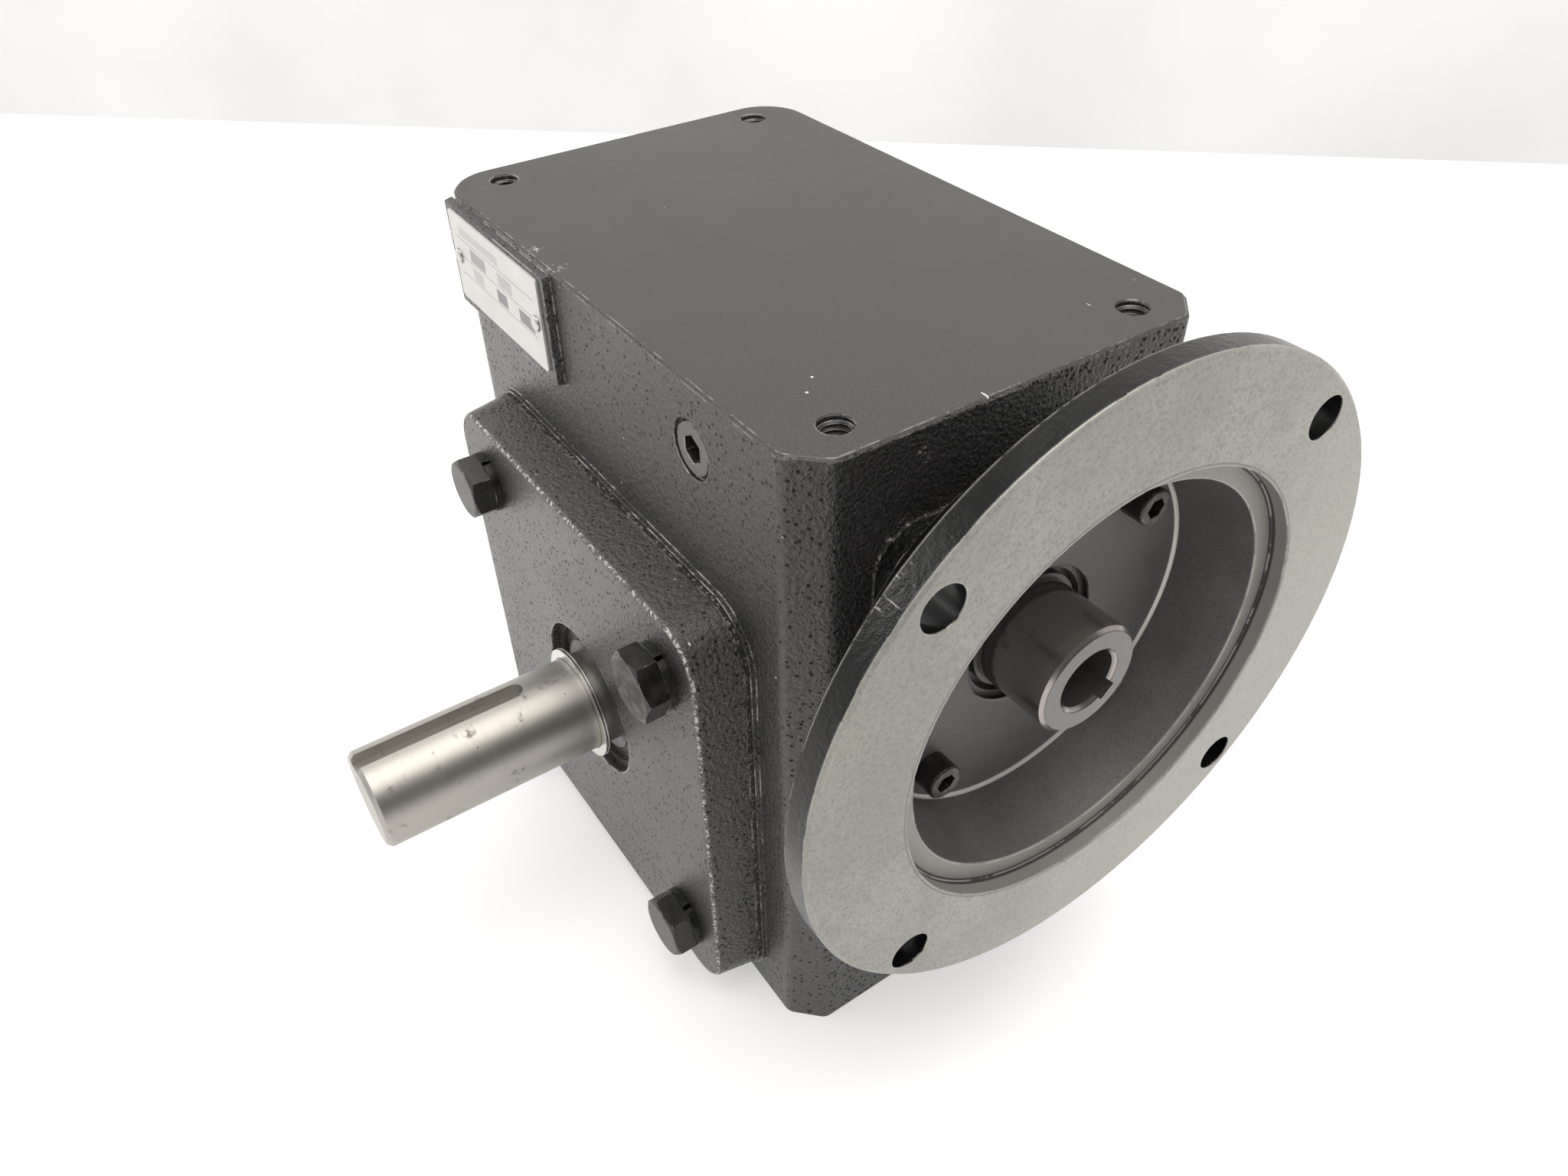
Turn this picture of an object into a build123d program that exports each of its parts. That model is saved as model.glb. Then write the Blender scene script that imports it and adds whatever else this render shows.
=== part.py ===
"""Worm gear reducer with a C-face motor adapter and one output shaft.

Millimetres. The origin is the middle of the housing's underside, +Z is up, +X points
at the motor and the output shaft leaves towards -Y.
"""
import os
from math import acos, atan, cos, degrees, pi, radians, sin, sqrt, tan

from build123d import *

os.makedirs("parts", exist_ok=True)

# Housing casting
housing_l = 177.6
housing_w = 115.0
housing_h = 200.0
wall = 9.0
front_chamfer = 8.0
chamfer_blend = 4.0
rear_round = 14.0
edge_break = 0.8
foot_hole_x = 157.0
foot_hole_y = 84.0
foot_thread_r = 3.97
foot_hole_depth = 15.0
foot_boss_r = 9.0

# Gearing
output_z = 75.6
gear_module = 2.5
wheel_teeth = 40
worm_starts = 2
worm_pitch_r = 12.0
pressure_angle = 20.0
root_clearance = 0.6
flank_play = 0.25
wheel_face = 20.0
wheel_outer_r = 53.25
worm_l = 52.0

# Fits and joints
gasket_t = 0.8
run_clear = 0.05
seat_clear = 0.02
screw_clear = 0.4

# Output side
shaft_r = 14.2875
shaft_reach = 67.5
shaft_key_w = 6.35
shaft_key_depth = 3.2
shaft_key_l = 49.0
shaft_key_turn = -7.0
shaft_collar_r = 20.0
wheel_seat_r = 16.0
cover_pad_t = 1.5
cover_t = 12.9
cover_w = 138.0
cover_h = 142.6
cover_corner_r = 15.0
cover_draft = 9.0
cover_edge_r = 1.6
cover_bolt_spacing = 100.0
cover_opening_r = 57.0
seal_r = 24.2
seal_w = 7.0
seal_recess = 3.0
ring_gap = 2.0
ring_t = 1.6
ring_r = 17.2
ring_groove = 1.0
ring_turn_gap = 0.25

# Hex head bolts of the cover
bolt_r = 5.0
bolt_flats = 17.0
bolt_head_h = 6.4
bolt_grip = 14.0
washer_r = 9.05
washer_t = 2.2
washer_slit = 1.2

# Inside the gearing
wheel_key_w = 8.0
wheel_key_h = 7.0
wheel_key_sunk = 4.0
wheel_key_short = 6.0
hub_bearing_gap = 16.5
hub_r = 25.0
hub_web_t = 10.0
hub_blend = 2.0
rim_t = 12.0
rim_land = 4.5
spacer_wall = 4.0
ring_mouth = 9.0
ring_mouth_h = 12.0
shaft_bevel = 1.2
worm_blend = 2.0
worm_collar_l = 8.0
worm_taper_l = 6.0
worm_collar_step = 1.5

# Bearings: bore radius, outer radius, width, ball radius, balls
big_bearing = dict(bore=15.0, outer=31.0, width=16.0, ball=4.7, count=8)
small_bearing = dict(bore=12.5, outer=26.0, width=15.0, ball=3.9, count=8)
race_clear = 0.06

# Input shaft
quill_r = 14.5
quill_bore_r = 7.9375
quill_bore_depth = 57.0
quill_key_w = 4.76
quill_key_depth = 2.4
quill_key_turn = 45.0
quill_setback = 5.8
worm_shoulder_r = 18.0
worm_shoulder_w = 6.0
snap_t = 1.75
motor_bearing_depth = 18.8
end_bearing_depth = 21.3

# Motor adapter
face_reach = 125.0
flange_r = 82.55
flange_t = 7.6
flange_edge = 0.9
pilot_r = 57.15
pilot_depth = 4.5
motor_bolt_circle = 149.225
motor_hole_r = 5.35
bowl_mouth_r = 52.0
bowl_floor_r = 48.5
bowl_floor_t = 10.4
bowl_wall = 6.0
neck_w = 79.0
neck_round = 11.6
neck_t = 4.6
bowl_corner = 0.6
seal_window_r = 18.9
seal_hollow = 3.2
seal_rim = 4.6
spigot_wall = 5.0
input_seal_r = 22.0
input_seal_w = 7.0
adapter_screw_circle = 80.0
adapter_screw_r = 3.175
adapter_screw_head_r = 4.75
adapter_screw_head_h = 6.35
adapter_screw_socket = 4.76
adapter_screw_grip = 14.0

# Oil plugs and nameplate
plug_r = 6.8
plug_t = 9.0
plug_socket = 6.35
plug_gap = 0.6
vent_x = 47.0
vent_drop = 17.0
drain_z = 24.0
level_y = 30.0
plate_w = 56.0
plate_h = 26.0
plate_t = 0.6
plate_x = -49.2
plate_drop = 16.0
plate_pad_t = 2.2
plate_pad_margin = 3.2
plate_pad_top = 1.6
pin_r = 1.3
pin_head_r = 2.2
pin_head_h = 0.8
pin_depth = 3.0

# Places that follow from the sizes above
wheel_pitch_r = gear_module * wheel_teeth / 2
centre_distance = wheel_pitch_r + worm_pitch_r
worm_z = output_z + centre_distance
worm_tip_r = worm_pitch_r + gear_module
worm_root_r = worm_pitch_r - gear_module - root_clearance
axial_pitch = pi * gear_module
lead = axial_pitch * worm_starts
side_x = housing_l / 2
side_y = housing_w / 2
cover_seat_y = -side_y - cover_pad_t
cover_back_y = cover_seat_y - gasket_t
cover_face_y = cover_back_y - cover_t
shaft_end_y = cover_face_y - shaft_reach
adapter_back_x = side_x + gasket_t
bowl_floor_x = adapter_back_x + bowl_floor_t
flange_back_x = face_reach - flange_t
quill_end_x = face_reach - quill_setback
seal_back_y = cover_face_y + seal_recess + seal_w

# Bearings, each given by the end nearest the middle of the housing
rear_pocket_y = side_y - 6.0 - big_bearing["width"]
front_pocket_y = seal_back_y + 1.0 + big_bearing["width"]
motor_pocket_x = side_x - motor_bearing_depth
end_pocket_x = -side_x + end_bearing_depth
bore_margin = 6.0


def disc(radius, start, end, axis="x", u=0.0, v=0.0):
    """A cylinder from start to end along an axis through the point (u, v)."""
    if axis == "x":
        plane = Plane((start, u, v), x_dir=(0, 1, 0), z_dir=(1, 0, 0))
    elif axis == "y":
        plane = Plane((u, start, v), x_dir=(1, 0, 0), z_dir=(0, 1, 0))
    else:
        plane = Plane((u, v, start), x_dir=(1, 0, 0), z_dir=(0, 0, 1))
    return extrude(plane * Circle(radius), amount=end - start)


def on_worm_axis(radius, start, end):
    """A cylinder round the worm's axis."""
    return disc(radius, start, end, "x", 0.0, worm_z)


def on_wheel_axis(radius, start, end):
    """A cylinder round the output axis."""
    return disc(radius, start, end, "y", 0.0, output_z)


def ring(outer, inner, start, end, place):
    """A plain ring; place is one of the two cylinder makers above."""
    return place(outer, start, end) - place(inner, start, end)


def turned_x(points):
    """A body turned about the worm's axis from (x, radius) points."""
    profile = Polyline(*[(x, 0, worm_z + r) for x, r in points], close=True)
    return revolve(make_face(profile), Axis((0, 0, worm_z), (1, 0, 0)))


def turned_y(points):
    """A body turned about the output axis from (y, radius) points."""
    profile = Polyline(*[(0, y, output_z + r) for y, r in points], close=True)
    return revolve(make_face(profile), Axis((0, 0, output_z), (0, 1, 0)))


def square_on(plane, width, height, corner):
    """A rectangle with round corners."""
    return plane * RectangleRounded(width, height, corner)


def four(spacing_u, spacing_v):
    """The corners of a rectangle, as offsets from its centre."""
    return [(i * spacing_u / 2, j * spacing_v / 2) for i in (-1, 1) for j in (-1, 1)]


def group(solids):
    """Separate solids that share one node."""
    flat = []
    for item in solids:
        flat.extend(item.solids())
    return Compound(children=flat)


def single(shape):
    """The one solid of a finished piece."""
    solids = shape.solids()
    if len(solids) != 1:
        raise ValueError("a piece came out as %d solids" % len(solids))
    return solids[0]


# Housing: one iron casting with a round opening for the wheel on the output side,
# a bearing bore at each end of the worm and a blind bearing pocket opposite the cover.
body = extrude(Rectangle(housing_l, housing_w), amount=housing_h)
upright = body.edges().filter_by(Axis.Z)
body = chamfer(upright.group_by(Axis.X)[-1], front_chamfer)
cut_edges = body.edges().filter_by(Axis.Z).group_by(Axis.X)
body = fillet(cut_edges[-1] + cut_edges[-2], chamfer_blend)
body = fillet(body.edges().filter_by(Axis.Z).group_by(Axis.X)[0], rear_round)
body = chamfer(body.faces().sort_by(Axis.Z)[-1].edges(), edge_break)

cavity_w = housing_w - 2 * wall
cavity = Pos(0, 0, wall) * extrude(
    RectangleRounded(housing_l - 2 * wall, cavity_w, rear_round - wall / 2),
    amount=housing_h - 2 * wall,
)
boss_x = motor_pocket_x - 4.0
inner_x = side_x - wall
inner_y = side_y - wall
bosses = on_worm_axis(adapter_screw_circle / 2 + bore_margin, boss_x, inner_x)
bosses += on_worm_axis(small_bearing["outer"] + 8, -inner_x, end_pocket_x + 3.5)
bosses += on_wheel_axis(big_bearing["outer"] + 7, rear_pocket_y, inner_y)
for u, v in four(foot_hole_x, foot_hole_y):
    bosses += disc(foot_boss_r, 0, foot_hole_depth + 5, "z", u, v)
    bosses += disc(foot_boss_r, housing_h - foot_hole_depth - 5, housing_h, "z", u, v)
body = body - (cavity - bosses)

pad_plane = Plane((0, -side_y, output_z), x_dir=(1, 0, 0), z_dir=(0, -1, 0))
body += extrude(square_on(pad_plane, cover_w + 2, cover_h + 2, cover_corner_r + 1), cover_pad_t)
plate_z = housing_h - plate_drop
plate_plane = Plane((plate_x, -side_y, plate_z), x_dir=(1, 0, 0), z_dir=(0, -1, 0))
pad_w = plate_w + 2 * plate_pad_margin
pad_h = plate_h + plate_pad_margin + plate_pad_top
pad_drop = Pos(0, (plate_pad_top - plate_pad_margin) / 2)
body += extrude(plate_plane * pad_drop * RectangleRounded(pad_w, pad_h, 1.2), plate_pad_t, taper=12)
body += on_wheel_axis(big_bearing["outer"] + 11, side_y, side_y + cover_pad_t)

body -= on_wheel_axis(cover_opening_r, cover_seat_y, -inner_y)
body -= on_wheel_axis(big_bearing["outer"], rear_pocket_y, rear_pocket_y + big_bearing["width"])
body -= on_worm_axis(big_bearing["outer"], motor_pocket_x, side_x)
body -= on_worm_axis(big_bearing["outer"] - bore_margin, boss_x, motor_pocket_x)
body -= on_worm_axis(small_bearing["outer"], -side_x, end_pocket_x)
body -= on_worm_axis(small_bearing["outer"] - bore_margin, end_pocket_x, end_pocket_x + 3.5)
end_ring_x = end_pocket_x - small_bearing["width"]
end_ring_groove = small_bearing["outer"] + 1.3
body -= on_worm_axis(end_ring_groove, end_ring_x - snap_t, end_ring_x)

for u, v in four(foot_hole_x, foot_hole_y):
    for z, up in ((0, 1), (housing_h, -1)):
        mouth = Plane((u, v, z), z_dir=(0, 0, up))
        body -= extrude(mouth * Circle(foot_thread_r), foot_hole_depth)
for u, v in four(cover_bolt_spacing, cover_bolt_spacing):
    body -= disc(bolt_r, cover_seat_y, cover_seat_y + bolt_grip, "y", u, output_z + v)
screw_side = adapter_screw_circle / sqrt(2)
for u, v in four(screw_side, screw_side):
    body -= disc(adapter_screw_r, side_x, side_x - adapter_screw_grip - 2, "x", u, worm_z + v)

# Oil plugs: places as (origin, direction out of the housing)
vent_z = housing_h - vent_drop
plug_places = [
    ((vent_x, -side_y, vent_z), (0, -1, 0)),
    ((vent_x, side_y, vent_z), (0, 1, 0)),
    ((-side_x, 0, drain_z), (-1, 0, 0)),
    ((-side_x, level_y, output_z), (-1, 0, 0)),
]
plug_planes = [Plane(origin, z_dir=out) for origin, out in plug_places]
for plane in plug_planes:
    body -= extrude(plane * Circle(plug_r + plug_gap), -1.2)
    body -= extrude(plane * Circle(plug_r), -plug_t - 1)
pin_offset = plate_w / 2 - 3.2
plate_seat_y = -side_y - plate_pad_t
for side in (-1, 1):
    body -= disc(pin_r, plate_seat_y, plate_seat_y + pin_depth, "y", plate_x + side * pin_offset, plate_z)
housing = single(body)

# Oil plugs: tapered screws with a hex socket, set just under the surface
plugs = []
for plane in plug_planes:
    plug = extrude(plane * Pos(0, 0, -plug_t - 0.3) * Circle(plug_r), plug_t)
    plug -= extrude(plane * Pos(0, 0, -0.3) * RegularPolygon(plug_socket / 2, 6, major_radius=False), -5)
    outwards = Axis(plane.origin, plane.z_dir)
    mouth = plug.edges().filter_by(GeomType.CIRCLE).sort_by(outwards)[-1]
    plugs.append(chamfer(mouth, 0.5))

# Output cover: drafted square plate with a spigot that carries bearing and seal
cover_plane = Plane((0, cover_back_y, output_z), x_dir=(1, 0, 0), z_dir=(0, -1, 0))
cover = extrude(square_on(cover_plane, cover_w, cover_h, cover_corner_r), cover_t, taper=cover_draft)
cover = fillet(cover.faces().sort_by(Axis.Y)[0].edges(), cover_edge_r)
spigot_end_y = front_pocket_y + 1.0
cover += on_wheel_axis(cover_opening_r - seat_clear, cover_back_y, -inner_y)
cover += on_wheel_axis(big_bearing["outer"] + 6, -inner_y, spigot_end_y)
cover -= on_wheel_axis(seal_r, cover_face_y, seal_back_y)
cover -= on_wheel_axis(shaft_r + 4, seal_back_y, seal_back_y + 1.0)
cover -= on_wheel_axis(big_bearing["outer"], seal_back_y + 1.0, spigot_end_y)
for u, v in four(cover_bolt_spacing, cover_bolt_spacing):
    cover -= disc(bolt_r + screw_clear, cover_face_y, cover_back_y, "y", u, output_z + v)
output_cover = single(cover)

gasket = extrude(square_on(cover_plane, cover_w, cover_h, cover_corner_r), -gasket_t)
gasket -= on_wheel_axis(cover_opening_r, cover_back_y, cover_seat_y)
for u, v in four(cover_bolt_spacing, cover_bolt_spacing):
    gasket -= disc(bolt_r + screw_clear, cover_back_y, cover_seat_y, "y", u, output_z + v)
cover_gasket = single(gasket)


def hex_bolt(u, v, turn):
    """A hex head bolt through the cover, its head on a lock washer."""
    seat = Plane((u, cover_face_y - washer_t, v), x_dir=(1, 0, 0), z_dir=(0, -1, 0))
    head = extrude(seat * Rot(0, 0, turn) * RegularPolygon(bolt_flats / 2, 6, major_radius=False), bolt_head_h)
    corner_r = bolt_flats / sqrt(3)
    crown = seat * Pos(0, 0, bolt_head_h / 2) * Cylinder(corner_r, bolt_head_h)
    crown = chamfer(crown.edges().sort_by(Axis.Y)[0], 1.0, 1.0 * tan(radians(60)))
    shank_l = washer_t + cover_t + gasket_t + bolt_grip - 1
    shank = extrude(seat * Circle(bolt_r - seat_clear), -shank_l)
    return (head & crown) + shank


bolt_turns = (12, 38, 50, 5)
cover_bolts = group(
    hex_bolt(u, output_z + v, turn)
    for (u, v), turn in zip(four(cover_bolt_spacing, cover_bolt_spacing), bolt_turns)
)


def lock_washer(u, v):
    """A split spring washer between a bolt's head and the cover."""
    seat = Plane((u, cover_face_y, v), x_dir=(1, 0, 0), z_dir=(0, -1, 0))
    washer = extrude(seat * (Circle(washer_r) - Circle(bolt_r + screw_clear)), washer_t)
    slit = extrude(seat * Rot(0, 0, 70) * Pos(washer_r, 0) * Rectangle(washer_r, washer_slit), washer_t)
    return washer - slit


lock_washers = group(
    lock_washer(u, output_z + v) for u, v in four(cover_bolt_spacing, cover_bolt_spacing)
)

# Output shaft: reach with open keyway, two journals, wheel seat and collar
hub_half = rear_pocket_y - hub_bearing_gap
shaft_steps = [
    (shaft_end_y, 0),
    (shaft_end_y, shaft_r - shaft_bevel),
    (shaft_end_y + shaft_bevel, shaft_r),
    (seal_back_y + 0.7, shaft_r),
    (seal_back_y + 0.7, big_bearing["bore"]),
    (-hub_half, big_bearing["bore"]),
    (-hub_half, wheel_seat_r),
    (hub_half, wheel_seat_r),
    (hub_half, shaft_collar_r),
    (rear_pocket_y, shaft_collar_r),
    (rear_pocket_y, big_bearing["bore"]),
    (rear_pocket_y + big_bearing["width"] - 1, big_bearing["bore"]),
    (rear_pocket_y + big_bearing["width"] - 1, 0),
]
shaft = turned_y(shaft_steps)
ring_y = cover_face_y - ring_gap - ring_t
shaft -= ring(shaft_r + 1, shaft_r - ring_groove, ring_y, ring_y + ring_t, on_wheel_axis)
key_floor = output_z + shaft_r - shaft_key_depth
slot_l = shaft_key_l - shaft_key_w / 2
slot = Pos(0, shaft_end_y + slot_l / 2, key_floor + shaft_r / 2) * Box(shaft_key_w, slot_l, shaft_r)
slot += disc(shaft_key_w / 2, key_floor, key_floor + shaft_r, "z", 0, shaft_end_y + slot_l)
shaft -= Pos(0, 0, output_z) * Rot(0, shaft_key_turn, 0) * Pos(0, 0, -output_z) * slot
wheel_key_l = 2 * hub_half - wheel_key_short
wheel_key_z = output_z + wheel_seat_r - wheel_key_sunk
key_box = Pos(0, 0, wheel_key_z + wheel_key_h / 2) * Box(wheel_key_w, wheel_key_l, wheel_key_h)
shaft -= key_box
output_shaft = single(shaft)
wheel_key = single(key_box)

# Retaining ring on the shaft: a two-turn spring ring with a gap, seated in its groove
shaft_ring = ring(ring_r, shaft_r - ring_groove, ring_y, ring_y + ring_t, on_wheel_axis)
shaft_ring -= Pos(0, ring_y + ring_t / 2, output_z - ring_r) * Box(ring_mouth, ring_t * 2, ring_mouth_h)
turn_y = ring_y + (ring_t - ring_turn_gap) / 2
shaft_ring -= ring(ring_r + 1, ring_r - ring_groove, turn_y, turn_y + ring_turn_gap, on_wheel_axis)
shaft_snap_ring = single(shaft_ring)

spacer = single(ring(big_bearing["bore"] + spacer_wall, big_bearing["bore"], front_pocket_y, -hub_half, on_wheel_axis))

# Output seal: pressed case with a lip that runs on the shaft
seal_front_y = cover_face_y + seal_recess
seal = ring(seal_r, shaft_r + run_clear, seal_front_y, seal_back_y, on_wheel_axis)
seal -= ring(seal_r - 2.2, shaft_r + 3.2, seal_front_y, seal_front_y + 1.6, on_wheel_axis)
output_seal = single(seal)

# Wheel: iron hub with a web, bronze rim with throated teeth
rim_seat_r = wheel_pitch_r - rim_t
rim_half = wheel_face / 2
web_half = hub_web_t / 2
hub_foot = (web_half + hub_blend, hub_r + hub_blend * 0.75)
web_foot_r = hub_r + hub_blend * 1.75
web_top_r = rim_seat_r - rim_land - hub_blend / 2
half_hub = [
    (hub_half, wheel_seat_r), (hub_half, hub_r), hub_foot, (web_half, web_foot_r),
    (web_half, web_top_r), (rim_half, rim_seat_r - rim_land), (rim_half, rim_seat_r),
]
hub = turned_y([(-y, r) for y, r in half_hub] + half_hub[::-1])
hub -= Pos(0, 0, wheel_key_z + wheel_key_h / 2) * Box(wheel_key_w, 2 * hub_half, wheel_key_h)
wheel_hub = single(hub)


def involute(angle):
    """How far an involute has turned where its pressure angle is angle."""
    return tan(angle) - angle


def half_tooth(radius):
    """Half the angle that a wheel tooth spans at a radius."""
    base_r = wheel_pitch_r * cos(radians(pressure_angle))
    at_pitch = (axial_pitch / 2 - flank_play) / 2 / wheel_pitch_r
    here = acos(min(1.0, base_r / radius))
    return at_pitch + involute(radians(pressure_angle)) - involute(here)


def wheel_section(y):
    """The wheel's toothed outline at a distance y from the worm's axis."""
    throat = centre_distance - sqrt((worm_root_r + root_clearance) ** 2 - min(abs(y), 7.5) ** 2)
    tip_r = min(wheel_outer_r, throat)
    root_r = centre_distance - sqrt((worm_tip_r + root_clearance) ** 2 - y ** 2)
    mid_r = (tip_r + root_r) / 2
    turn = gear_module * worm_starts / 2 * atan(y / worm_pitch_r) / wheel_pitch_r
    points = []
    for tooth in range(wheel_teeth):
        middle = 2 * pi * tooth / wheel_teeth + turn
        for radius, side in (
            (root_r, -1), (mid_r, -1), (tip_r, -1), (tip_r, 1), (mid_r, 1), (root_r, 1),
        ):
            a = middle + side * half_tooth(radius)
            points.append((radius * sin(a), y, output_z + radius * cos(a)))
    return Wire.make_polygon([Vector(*p) for p in points], close=True)


sections = [wheel_section(y) for y in (-rim_half, -rim_half / 2, 0, rim_half / 2, rim_half)]
rim = Solid.make_loft(sections, ruled=True)
rim -= on_wheel_axis(rim_seat_r, -rim_half, rim_half)
wheel_rim = single(rim)

# Worm shaft: worm, journals and the hollow end that takes the motor shaft
end_journal_x = end_ring_x + 0.5
turns = 4.5
thread_l = turns * lead
thread_foot_r = worm_root_r - 0.8
thread_top_r = worm_tip_r + 0.5
thread_half = (axial_pitch / 2 - flank_play) / 2
slope = tan(radians(pressure_angle))
foot_half = thread_half + (worm_pitch_r - thread_foot_r) * slope
top_half = thread_half - (thread_top_r - worm_pitch_r) * slope
thread_face = make_face(Polyline(
    (thread_foot_r, 0, -foot_half), (thread_top_r, 0, -top_half),
    (thread_top_r, 0, top_half), (thread_foot_r, 0, foot_half), close=True,
))
thread = Pos(0, 0, -thread_l / 2) * sweep(
    thread_face, path=Helix(lead, thread_l, worm_pitch_r), is_frenet=True
)
thread &= Cylinder(worm_tip_r, worm_l)
worm_frame = Plane((0, 0, worm_z), x_dir=(0, 0, -1), z_dir=(1, 0, 0))
shoulder_x = motor_pocket_x - worm_shoulder_w
inner_end_x = motor_pocket_x + big_bearing["width"]
worm_half = worm_l / 2
collar_r = worm_root_r + worm_collar_step
taper_x = worm_half + worm_blend + worm_collar_l
worm_shaft = turned_x([
    (end_journal_x, 0), (end_journal_x, small_bearing["bore"] - 1), (end_journal_x + 1, small_bearing["bore"]),
    (end_pocket_x, small_bearing["bore"]), (end_pocket_x, small_bearing["bore"] + 3.5),
    (end_pocket_x + worm_shoulder_w, small_bearing["bore"] + 3.5),
    (end_pocket_x + worm_shoulder_w, collar_r), (-worm_half - worm_blend, collar_r),
    (-worm_half, worm_root_r), (worm_half, worm_root_r), (worm_half + worm_blend, collar_r),
    (taper_x, collar_r), (taper_x + worm_taper_l, quill_r), (shoulder_x, quill_r),
    (shoulder_x, worm_shoulder_r), (motor_pocket_x, worm_shoulder_r), (motor_pocket_x, big_bearing["bore"]),
    (inner_end_x, big_bearing["bore"]), (inner_end_x, quill_r), (quill_end_x - 1, quill_r),
    (quill_end_x, quill_r - 1), (quill_end_x, 0),
])
for k in range(worm_starts):
    worm_shaft += worm_frame * Rot(0, 0, 360 * k / worm_starts) * thread
bore_end_x = quill_end_x - quill_bore_depth
worm_shaft -= on_worm_axis(quill_bore_r, bore_end_x, quill_end_x)
worm_shaft -= Pos(quill_end_x - 0.5, 0, worm_z) * Rot(0, 90, 0) * Cone(
    quill_bore_r, quill_bore_r + 1, 1
)
key_x = (bore_end_x + 12 + quill_end_x) / 2
key_len = quill_end_x - bore_end_x - 12
keyway = Pos(key_x, 0, quill_bore_r / 2 + quill_key_depth / 2) * Box(
    key_len, quill_key_w, quill_bore_r + quill_key_depth
)
worm_shaft -= Pos(0, 0, worm_z) * Rot(180 + quill_key_turn, 0, 0) * keyway
worm_groove_r = quill_r - 0.9
worm_shaft -= ring(quill_r + 1, worm_groove_r, inner_end_x, inner_end_x + snap_t, on_worm_axis)
worm_shaft = single(worm_shaft)
worm_ring = ring(worm_shoulder_r, worm_groove_r, inner_end_x, inner_end_x + snap_t, on_worm_axis)
worm_ring -= Pos(inner_end_x, 0, worm_z - worm_shoulder_r) * Box(snap_t * 4, 6, 9)
worm_snap_ring = single(worm_ring)


def bearing(size, spot):
    """Outer race, inner race, balls and cage, built up from z = 0 and put at spot."""
    width, ball = size["width"], size["ball"]
    pitch = (size["bore"] + size["outer"]) / 2
    land = ball * 0.6
    middle = width / 2
    cage_half = min(ball + 1.4, middle - 0.8)
    groove = Pos(0, 0, middle) * Torus(pitch, ball + race_clear)
    outer = disc(size["outer"] - seat_clear, 0, width, "z") - disc(pitch + land, 0, width, "z") - groove
    inner = disc(pitch - land, 0, width, "z") - disc(size["bore"], 0, width, "z") - groove
    cage = disc(pitch + 0.7, middle - cage_half, middle + cage_half, "z")
    cage -= disc(pitch - 0.7, middle - cage_half, middle + cage_half, "z")
    balls = []
    for k in range(size["count"]):
        a = 2 * pi * k / size["count"]
        centre = Pos(pitch * cos(a), pitch * sin(a), middle)
        balls.append(spot * centre * Sphere(ball))
        cage -= Pos(0, 0, middle) * Rot(0, 0, degrees(a)) * Pos(pitch, 0, 0) * Rot(0, 90, 0) * Cylinder(
            ball + race_clear, ball
        )
    return single(spot * outer), single(spot * inner), group(balls), single(spot * cage)


along_wheel_axis = Rot(-90, 0, 0)
along_worm_axis = Rot(0, 90, 0)
front_bearing_y = front_pocket_y - big_bearing["width"]
rear_bearing_x = end_pocket_x - small_bearing["width"]
bearings = {
    "output_front": bearing(big_bearing, Pos(0, front_bearing_y, output_z) * along_wheel_axis),
    "output_rear": bearing(big_bearing, Pos(0, rear_pocket_y, output_z) * along_wheel_axis),
    "worm_front": bearing(big_bearing, Pos(motor_pocket_x, 0, worm_z) * along_worm_axis),
    "worm_rear": bearing(small_bearing, Pos(rear_bearing_x, 0, worm_z) * along_worm_axis),
}

# Rear end of the worm bore: spring ring and pressed-in end plug
end_ring = ring(end_ring_groove - 0.1, small_bearing["outer"] - 4, end_ring_x - snap_t, end_ring_x, on_worm_axis)
end_ring -= Pos(end_ring_x, 0, worm_z - small_bearing["outer"]) * Box(snap_t * 4, 14, 12)
end_snap_ring = single(end_ring)
plug_in_x = end_ring_x - snap_t - 0.2
end_plug = turned_x([
    (-side_x + 0.4, 0), (-side_x + 0.4, small_bearing["outer"] - 1), (-side_x + 1.4, small_bearing["outer"]),
    (plug_in_x, small_bearing["outer"]), (plug_in_x, small_bearing["outer"] - 2.2),
    (-side_x + 2.4, small_bearing["outer"] - 2.2), (-side_x + 2.4, 0),
])
end_plug = single(end_plug)

# Motor adapter: turned bowl on a square neck, rim with the motor's bolt holes
neck_plane = Plane((adapter_back_x, 0, worm_z), x_dir=(0, 1, 0), z_dir=(1, 0, 0))
bowl_back_x = adapter_back_x + neck_t
outer_floor_r = bowl_floor_r + bowl_wall
outer_mouth_r = bowl_mouth_r + bowl_wall + 2
bowl = turned_x([
    (bowl_back_x, 0), (bowl_back_x, outer_floor_r - 4), (bowl_back_x + 1.6, outer_floor_r - 1.2),
    (bowl_back_x + 5, outer_floor_r), (flange_back_x - 4, outer_mouth_r), (flange_back_x - 1, outer_mouth_r + 1.2),
    (flange_back_x, outer_mouth_r + 4),
    (flange_back_x, flange_r - 0.8), (flange_back_x + 0.8, flange_r), (face_reach - flange_edge, flange_r),
    (face_reach, flange_r - flange_edge), (face_reach, pilot_r), (face_reach - pilot_depth, pilot_r),
    (face_reach - pilot_depth, bowl_mouth_r), (bowl_floor_x + bowl_corner, bowl_floor_r),
    (bowl_floor_x, bowl_floor_r - bowl_corner), (bowl_floor_x, 0),
])
adapter = bowl + extrude(square_on(neck_plane, neck_w, neck_w, neck_round), neck_t)
spigot_x = inner_end_x + 0.1
adapter += on_worm_axis(big_bearing["outer"] - seat_clear, spigot_x, adapter_back_x)
adapter -= on_worm_axis(big_bearing["outer"] - spigot_wall, spigot_x, adapter_back_x)
seal_back_x = adapter_back_x + 1.5
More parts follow.
